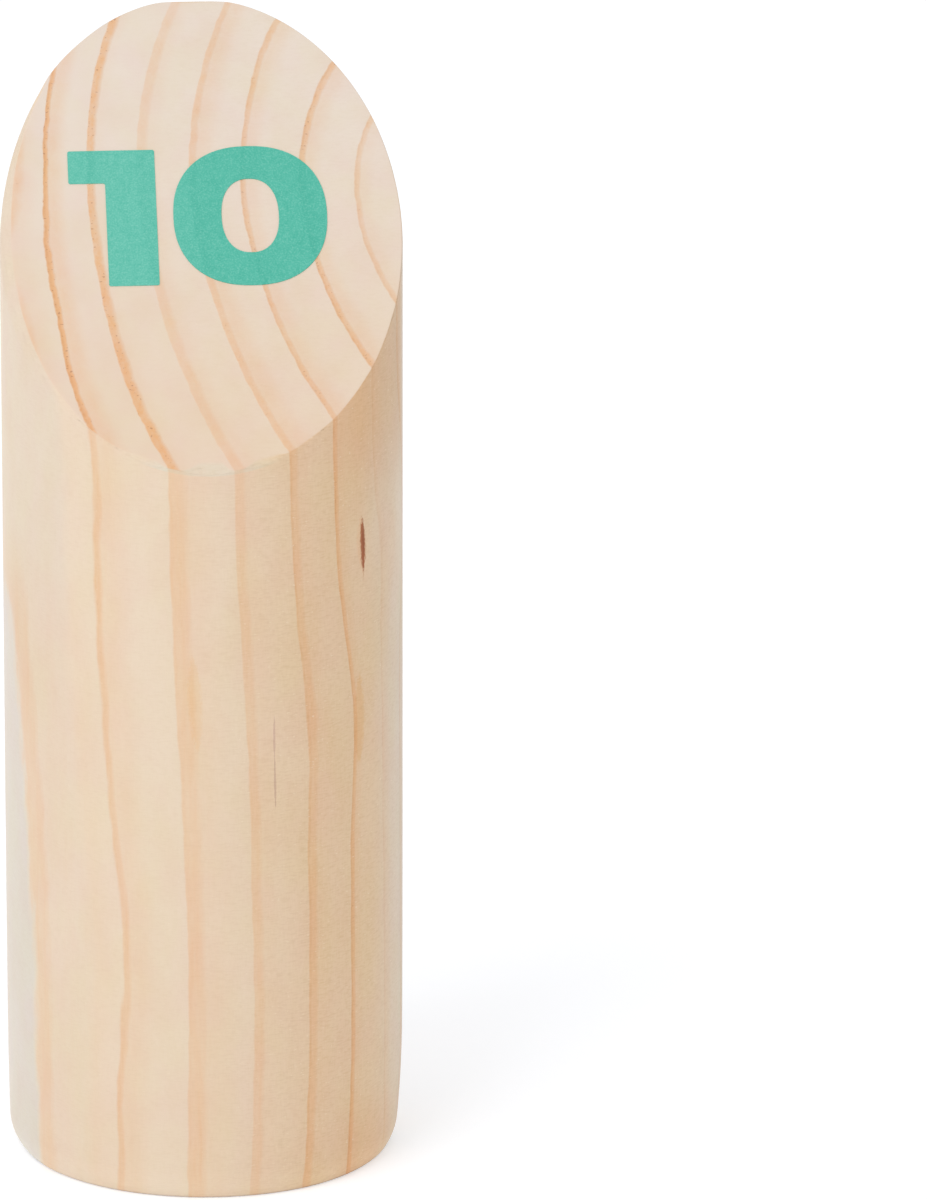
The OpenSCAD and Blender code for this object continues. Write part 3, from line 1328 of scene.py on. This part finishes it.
@dataclass
class Billet:
    """The turned billet: a round of softwood on a drawn-in foot, sawn off on a slope and sanded at the rim.

    Args:
        radius: Radius of its side.
        height: Height from the foot to the tip.
        cut: The sloping cut.
        foot: The foot.
        trunk: How the tree grew.
        rim: How the cut's rim is worn.
        sides: How many flat sides the mesh has round the axis.
        rows: Heights of the level rows of the mesh.
        spare: How far the round stands above the tip before it is sawn.
        smooth_angle: Angle up to which two faces are shaded as one.
        taper: How far the side leans in towards the foot.
        taper_height: Height over which it does.
        straight_heights: Heights over which the drawn-in foot's rings go back to their true place.
        facing: Y, to the front or back, between which the foot's points stop being moved along X.
        least_across: Least distance from the axis that anything is divided by.
    """

    # How closely the middle face of the cut faces the cut's way, and how few corners its other faces have
    ALIGNED: ClassVar[float] = 0.9999
    FEW: ClassVar[int] = 8

    radius: float
    height: float
    cut: Cut
    foot: Foot
    trunk: Trunk
    rim: Rim = Rim()
    sides: int = 540
    rows: tuple[float, ...] = (5.0, 6.0, 7.5, 9.0, 11.0, 13.5, 16.0, 20.0, 26.0, 32.0, 38.0, 45.0, 70.0, 95.0)
    spare: float = 2.0
    smooth_angle: float = 50.0
    taper: float = 0.15
    taper_height: float = 45.0
    straight_heights: Span = (8.0, 16.0)
    facing: Span = (4.0, 14.0)
    least_across: float = 0.1

    @classmethod
    def of(cls, node: bpy.types.Object, trunk: Trunk) -> "Billet":
        """Reads the billet's sizes off its CAD node.

        Args:
            node: The CAD node.
            trunk: How the tree grew.

        Returns:
            The billet.
        """
        low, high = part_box(node.name)
        radius = (high.x - low.x) / 2 / MM
        flat = max(math.hypot(v.co.x, v.co.y) for v in node.data.vertices if v.co.z < low.z + NEAR * MM) / MM
        side = [v.co.z for v in node.data.vertices if math.hypot(v.co.x, v.co.y) > (radius - NEAR) * MM]
        drawn_in, rise = radius - flat, min(side) / MM
        arc = (rise**2 + drawn_in**2) / (2 * drawn_in)
        return cls(radius, (high.z - low.z) / MM, Cut.of(node), Foot(arc, drawn_in), trunk)

    def spread(self, graph: Graph, point: Value) -> Socket:
        """Moves points of the drawn-in foot out to the full radius, for the rings run straight to its edge.

        In front and behind they move along Y alone, so that seen from there a ring keeps its place.

        Args:
            graph: The material's graph.
            point: The shaded point, in millimetres.

        Returns:
            The moved point.
        """
        x, y, z = graph.split(point)
        across = graph.vector("LENGTH", graph.join(x, y, 0.0))
        deepest = self.foot.drawn_in + self.foot.right_ease + self.foot.ease + self.taper
        drawn = graph.math("MINIMUM", graph.math("SUBTRACT", self.radius, across), deepest)
        inner = graph.ramp(across, self.radius / 2, self.radius - self.foot.drawn_in)
        push = graph.times(drawn, inner, graph.ramp(z, *self.straight_heights, 1.0, 0.0))
        full = graph.total(across, push)
        beside = graph.ramp(graph.math("ABSOLUTE", y), *self.facing, 1.0, 0.0)
        widened = graph.math("DIVIDE", push, graph.math("MAXIMUM", across, self.least_across))
        x = graph.times(x, graph.math("MULTIPLY_ADD", widened, beside, 1.0))
        left = graph.math("SUBTRACT", graph.times(full, full), graph.times(x, x))
        depth = graph.math("SQRT", graph.math("MAXIMUM", left, 0.0))
        return graph.join(x, graph.times(graph.math("SIGN", y), depth), z)

    def build(self) -> bpy.types.Object:
        """Turns the billet, cuts its foot flat, saws it and sands its rim.

        Returns:
            The finished piece.
        """
        bpy.ops.object.select_all(action="DESELECT")
        top = self.height + self.spare
        under = self.foot.radius - self.foot.height
        bpy.ops.mesh.primitive_cylinder_add(
            vertices=self.sides,
            radius=self.radius * MM,
            depth=(top + under) * MM,
            location=(0.0, 0.0, (top - under) / 2 * MM),
            end_fill_type="NGON",
        )
        piece = bpy.context.active_object
        piece.name = piece.data.name = "turned_billet"
        bpy.ops.object.transform_apply(location=True, rotation=True, scale=True)
        bpy.ops.object.mode_set(mode="EDIT")
        self._turn_foot(piece, -under)
        self._saw()
        self._mark_rim(piece)
        bpy.ops.object.mode_set(mode="OBJECT")
        self._sand_rim(piece)
        self._wear(piece)
        only(piece)
        bpy.ops.object.shade_smooth_by_angle(angle=math.radians(self.smooth_angle))
        return piece

    def _turn_foot(self, piece: bpy.types.Object, lowest: float) -> None:
        """Rounds the lower end, cuts it off flat, breaks the edge and adds level rows above it.

        Args:
            piece: The billet, in edit mode.
            lowest: Height of its lower end, under the flat.
        """
        low = (lowest + NEAR) * MM
        rounded = {"profile": ROUND_PROFILE, "affect": "EDGES", "clamp_overlap": False}
        choose(piece, "EDGE", lambda edge: all(v.co.z < low for v in edge.verts))
        bpy.ops.mesh.bevel(offset=self.foot.radius * MM, segments=self.foot.steps, **rounded)
        bpy.ops.mesh.select_all(action="SELECT")
        flat = {"plane_co": (0, 0, 0), "plane_no": (0, 0, 1), "use_fill": True, "clear_inner": True}
        bpy.ops.mesh.bisect(threshold=CUT_CLOSE, **flat)
        choose(piece, "EDGE", lambda edge: all(v.co.z < CLOSE * MM for v in edge.verts))
        bpy.ops.mesh.bevel(offset=self.foot.chamfer * MM, segments=self.foot.chamfer_steps, **rounded)
        for height in self.rows:
            bpy.ops.mesh.select_all(action="SELECT")
            bpy.ops.mesh.bisect(plane_co=(0, 0, height * MM), plane_no=(0, 0, 1))

    def _saw(self) -> None:
        """Saws the top off on the slope."""
        bpy.ops.mesh.select_all(action="SELECT")
        slope = {"plane_co": self.cut.middle * MM, "plane_no": self.cut.normal}
        bpy.ops.mesh.bisect(use_fill=True, clear_outer=True, threshold=CUT_CLOSE, **slope)

    def _mark_rim(self, piece: bpy.types.Object) -> None:
        """Adds the rows beside the rim that the sanding rounds: some down the side, some across the cut.

        Args:
            piece: The billet, in edit mode.
        """
        normal, middle = self.cut.normal, self.cut.middle * MM
        for row in self.rim.rows:
            bpy.ops.mesh.select_all(action="SELECT")
            bpy.ops.mesh.bisect(plane_co=middle - normal * (row * MM), plane_no=normal)
        reached = 0.0
        for row in self.rim.rows:
            choose(piece, "FACE", self._is_middle)
            bpy.ops.mesh.inset(thickness=(row - reached) * MM, depth=0.0, use_even_offset=True)
            reached = row

    def _is_middle(self, face: bmesh.types.BMFace) -> bool:
        """Whether a face is the middle of the cut, inside every row."""
        return face.normal.dot(self.cut.normal) > self.ALIGNED and len(face.verts) > self.FEW

    def _sand_rim(self, piece: bpy.types.Object) -> None:
        """Rounds the rim between the side and the cut, as far as the wood there is soft.

        Args:
            piece: The billet.
        """
        normal, middle, rise = self.cut.normal, self.cut.middle, self.cut.rise
        for vertex in piece.data.vertices:
            place = vertex.co / MM
            across = math.hypot(place.x, place.y)
            inside, under = self.radius - across, (middle - place).dot(normal)
            if under > self.rim.reach or inside > self.rim.reach:
                continue
            out = Vector((place.x, place.y, 0.0)) * (self.radius / across)
            rim = Vector((out.x, out.y, middle.z + out.y * rise))
            widths = self.rim.widths(self.trunk, rim, self.radius)
            needed = (rim.y * rise + self.cut.height - self.height) / self.rim.tip_drop
            over, down = (self.rim.at_tip(width, needed) for width in widths)
            if inside < CLOSE and under < CLOSE:
                inside, under = ROUND_MIDDLE * over, ROUND_MIDDLE * down
            elif inside < CLOSE and under < down:
                inside = round_in(over, under / down)
            elif under < CLOSE and inside < over:
                under = round_in(down, inside / over)
            else:
                continue
            scale = (self.radius - inside) / across
            x, y = place.x * scale, place.y * scale
            vertex.co = Vector((x, y, middle.z + y * rise - under / normal.z)) * MM

    def _wear(self, piece: bpy.types.Object) -> None:
        """Draws the side in a little towards the foot, as turned and worn pieces are.

        Args:
            piece: The billet.
        """
        for vertex in piece.data.vertices:
            place = vertex.co / MM
            across = math.hypot(place.x, place.y)
            if across < self.radius - self.foot.drawn_in - self.foot.kept or place.z > self.taper_height:
                continue
            leans = self.taper * (1.0 - place.z / self.taper_height) ** 2
            scale = (across - (self.foot.worn(place, self.radius) + leans)) / across
            vertex.co = Vector((place.x * scale, place.y * scale, place.z)) * MM

    def dress(self, piece: bpy.types.Object, wood: bpy.types.Material) -> None:
        """Gives the billet its wood, and puts it in the CAD node's place.

        Args:
            piece: The billet.
            wood: Its material.
        """
        piece.data.materials.clear()
        piece.data.materials.append(wood)
        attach(piece, "root")
        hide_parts("pin_body")


@dataclass
class Digit:
    """One printed digit: a film of paint on the cut, whose corners are a little round.

    Args:
        node: The CAD node that it stands for.
        name: Its own name.
        corner: How far back from a corner the rounding starts.
        corner_steps: Rows round a corner.
        sharp: Angle beyond which a bend in the outline is a corner.
        merged: Distance under which two points of the CAD film become one.
        level: Angle under which two of its faces become one.
    """

    # How closely an upright edge runs the cut's way
    UPRIGHT: ClassVar[float] = 0.99

    node: str
    name: str
    corner: float = 0.3
    corner_steps: int = 4
    sharp: float = 60.0
    merged: float = 0.002
    level: float = 1.0

    def build(self, cut: Cut) -> bpy.types.Object:
        """Copies the CAD film, and rounds the corners of its outline.

        Args:
            cut: The cut that it lies on.

        Returns:
            The finished piece.
        """
        source = frame["nodes"][self.node]
        only(source)
        bpy.ops.object.duplicate()
        piece = bpy.context.active_object
        piece.name = piece.data.name = self.name
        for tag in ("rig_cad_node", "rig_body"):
            if tag in piece:
                del piece[tag]
        piece.parent = None
        bpy.ops.object.mode_set(mode="EDIT")
        bpy.ops.mesh.select_all(action="SELECT")
        bpy.ops.mesh.remove_doubles(threshold=self.merged * MM)
        bpy.ops.mesh.dissolve_limited(angle_limit=math.radians(self.level))
        if choose(piece, "EDGE", lambda edge: self._is_corner(edge, cut)):
            rounded = {"profile": ROUND_PROFILE, "affect": "EDGES"}
            bpy.ops.mesh.bevel(offset=self.corner * MM, segments=self.corner_steps, **rounded)
        bpy.ops.object.mode_set(mode="OBJECT")
        return piece

    def _is_corner(self, edge: bmesh.types.BMEdge, cut: Cut) -> bool:
        """Looks whether an edge stands on the cut at a sharp corner of the outline.

        Args:
            edge: The edge, in edit mode.
            cut: The cut that the film lies on.

        Returns:
            Whether it does.
        """
        along = (edge.verts[1].co - edge.verts[0].co).normalized()
        upright = abs(along.dot(cut.normal)) > self.UPRIGHT
        return upright and edge.calc_face_angle(0.0) > math.radians(self.sharp)

    def dress(self, piece: bpy.types.Object, paint: bpy.types.Material) -> None:
        """Gives the film its paint, and puts it in the CAD node's place.

        Args:
            piece: The film.
            paint: Its material.
        """
        piece.data.materials.clear()
        piece.data.materials.append(paint)
        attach(piece, "root")
        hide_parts(self.node)


# The studio


def toward(azimuth: float, elevation: float) -> Vector:
    """The way from the pin to a place at this azimuth and elevation."""
    turn, rise = math.radians(azimuth), math.radians(elevation)
    return Vector((math.sin(turn) * math.cos(rise), -math.cos(turn) * math.cos(rise), math.sin(rise)))


@dataclass(frozen=True)
class Viewpoint:
    """The camera: a long lens, a little above the pin and a little to its left.

    Args:
        lens: Focal length.
        sensor: Height of the sensor.
        distance: From the point on the pin's axis at aim_height.
        elevation: How high it stands, seen from that point.
        azimuth: Where it stands, 0 in front of the cut and negative to its left.
        roll: How far it is turned about its own line of sight.
        aim_height: Height of the point on the pin's axis that it is set up from.
        aside: How far the pin's axis stands left of the picture's middle.
        lowered: How far the aimed point stands under the picture's middle.
        clip: Nearest and farthest distances that it shows.
    """

    lens: float = 360.0
    sensor: float = 36.0
    distance: float = 1683.2
    elevation: float = 17.02
    azimuth: float = -3.53
    roll: float = 0.1
    aim_height: float = 79.36
    aside: float = 36.53
    lowered: float = 0.15
    clip: Span = (50.0, 50000.0)

    def place(self) -> None:
        """Makes the camera and takes the picture from it."""
        bpy.ops.object.camera_add()
        camera = bpy.context.active_object
        camera.name = "camera"
        turn, roll = math.radians(self.azimuth), math.radians(self.roll)
        back = toward(self.azimuth, self.elevation)
        level = Vector((math.cos(turn), math.sin(turn), 0.0))
        right = level * math.cos(roll) + back.cross(level) * math.sin(roll)
        upward = back.cross(right)
        aim = Vector((0.0, 0.0, self.aim_height))
        eye = aim + back * self.distance + right * self.aside + upward * self.lowered
        turned = Matrix((right, upward, back)).transposed().to_4x4()
        camera.matrix_world = Matrix.Translation(eye * MM) @ turned
        camera.data.sensor_fit = "VERTICAL"
        camera.data.sensor_height = self.sensor
        camera.data.lens = self.lens
        camera.data.clip_start, camera.data.clip_end = (far * MM for far in self.clip)
        bpy.context.scene.camera = camera


@dataclass(frozen=True)
class Lamp:
    """A square soft lamp that points at the pin.

    Args:
        name: Its name.
        azimuth: Where it stands, 0 in front of the cut and negative to its left.
        elevation: How high it stands, seen from the pin.
        distance: How far it stands from the pin.
        size: The length of its side.
        level: How brightly it lights a white card that faces it, 1 for white.
        aim_height: Height of the point on the pin that it points at.
    """

    name: str
    azimuth: float
    elevation: float
    distance: float
    size: float
    level: float
    aim_height: float = 80.0

    def hang(self) -> None:
        """Hangs the lamp."""
        away = toward(self.azimuth, self.elevation)
        bpy.ops.object.light_add(type="AREA")
        lamp = bpy.context.active_object
        lamp.name = self.name
        lamp.data.shape = "SQUARE"
        lamp.data.size = self.size * MM
        lamp.data.energy = self.level * (math.pi * self.distance * MM) ** 2
        lamp.location = away * (self.distance * MM) + Vector((0.0, 0.0, self.aim_height * MM))
        lamp.rotation_euler = away.to_track_quat("Z", "Y").to_euler()


@dataclass(frozen=True)
class Studio:
    """A white sweep under soft light, which keeps only a faint shadow beside the pin.

    Args:
        sky: How bright the sky is as a light, 1 for white.
        floor_size: Length of the floor's side.
        floor_bounce: How much light the floor throws back on the pin.
        shadow_share: How much light it throws back to the camera, of which the shadow takes its part.
        shadow_tint: The same by colour.
        floor_glow: What is added to that, so that the floor away from the shadow is white.
        lamps: The lamps.
    """

    sky: float = 0.824
    floor_size: float = 6000.0
    floor_bounce: float = 0.95
    shadow_share: float = 0.748
    shadow_tint: Triple = (0.975, 1.0, 1.045)
    floor_glow: float = 0.374
    lamps: tuple[Lamp, ...] = (Lamp("key", -40.0, 46.0, 1400.0, 800.0, 0.306),)

    def build(self) -> None:
        """Lays the floor, hangs the lamps and lights the sky."""
        self._lay_floor()
        for lamp in self.lamps:
            lamp.hang()
        self._light_sky()

    def _lay_floor(self) -> None:
        """Lays a floor that the camera sees as white, apart from part of the shadow beside the pin."""
        bpy.ops.mesh.primitive_plane_add(size=self.floor_size * MM, location=(0.0, 0.0, 0.0))
        floor = bpy.context.active_object
        floor.name = "floor"
        made, graph, shader = new_material("white_floor")
        graph.tree.nodes.remove(shader)
        output = next(node for node in graph.tree.nodes if node.type == "OUTPUT_MATERIAL")
        path = graph.node("ShaderNodeLightPath")
        seen = path.outputs["Is Camera Ray"]
        mirrored = graph.math("MAXIMUM", path.outputs["Is Glossy Ray"], path.outputs["Is Transmission Ray"])
        bounce = graph.line(seen, 0.0, 1.0, self.floor_bounce, self.shadow_share)
        glow = graph.node("ShaderNodeEmission")
        glow.inputs["Color"].default_value = (1.0, 1.0, 1.0, 1.0)
        shown = graph.times(seen, self.floor_glow)
        graph.feed(glow.inputs["Strength"], graph.math("MAXIMUM", shown, mirrored))
        card = graph.node("ShaderNodeBsdfDiffuse")
        colour = graph.vector("MULTIPLY", graph.join(bounce, bounce, bounce), self.shadow_tint)
        graph.feed(card.inputs["Color"], colour)
        both = graph.fill(graph.node("ShaderNodeAddShader"), glow.outputs[0], card.outputs[0])
        graph.feed(output.inputs["Surface"], both.outputs[0])
        floor.data.materials.append(made)

    def _light_sky(self) -> None:
        """Lights the sky evenly, and shows it white to the camera and in reflections."""
        world = bpy.data.worlds.new("white_sky")
        bpy.context.scene.world = world
        world.use_nodes = True
        world.node_tree.nodes.clear()
        graph = Graph(world.node_tree)
        path = graph.node("ShaderNodeLightPath")
        shown = graph.math("MAXIMUM", path.outputs["Is Camera Ray"], path.outputs["Is Glossy Ray"])
        shown = graph.math("MAXIMUM", shown, path.outputs["Is Transmission Ray"])
        sky = graph.node("ShaderNodeBackground")
        sky.inputs["Color"].default_value = (1.0, 1.0, 1.0, 1.0)
        graph.feed(sky.inputs["Strength"], graph.line(shown, 0.0, 1.0, self.sky, 1.0))
        output = graph.node("ShaderNodeOutputWorld")
        graph.feed(output.inputs["Surface"], sky.outputs[0])


def report(piece: bpy.types.Object) -> None:
    """Logs a finished piece's name and how many faces it has."""
    LOG.info("%s: %d faces", piece.name, len(piece.data.polygons))


def main() -> None:
    """Builds the studio and the pin, piece by piece."""
    logging.basicConfig(level=logging.INFO, format="%(name)s %(message)s")
    bpy.context.scene.view_settings.view_transform = "Standard"
    Viewpoint().place()
    Studio().build()
    trunk, marks = Trunk(), Marks()
    billet = Billet.of(frame["nodes"]["pin_body"], trunk)
    turned = billet.build()
    billet.dress(turned, Softwood().material(trunk, marks, billet))
    report(turned)
    paint = TealPaint().material(trunk, marks)
    for digit in (Digit("digit_one", "printed_one"), Digit("digit_zero", "printed_zero")):
        film = digit.build(billet.cut)
        digit.dress(film, paint)
        report(film)


if __name__ == "__main__":
    main()
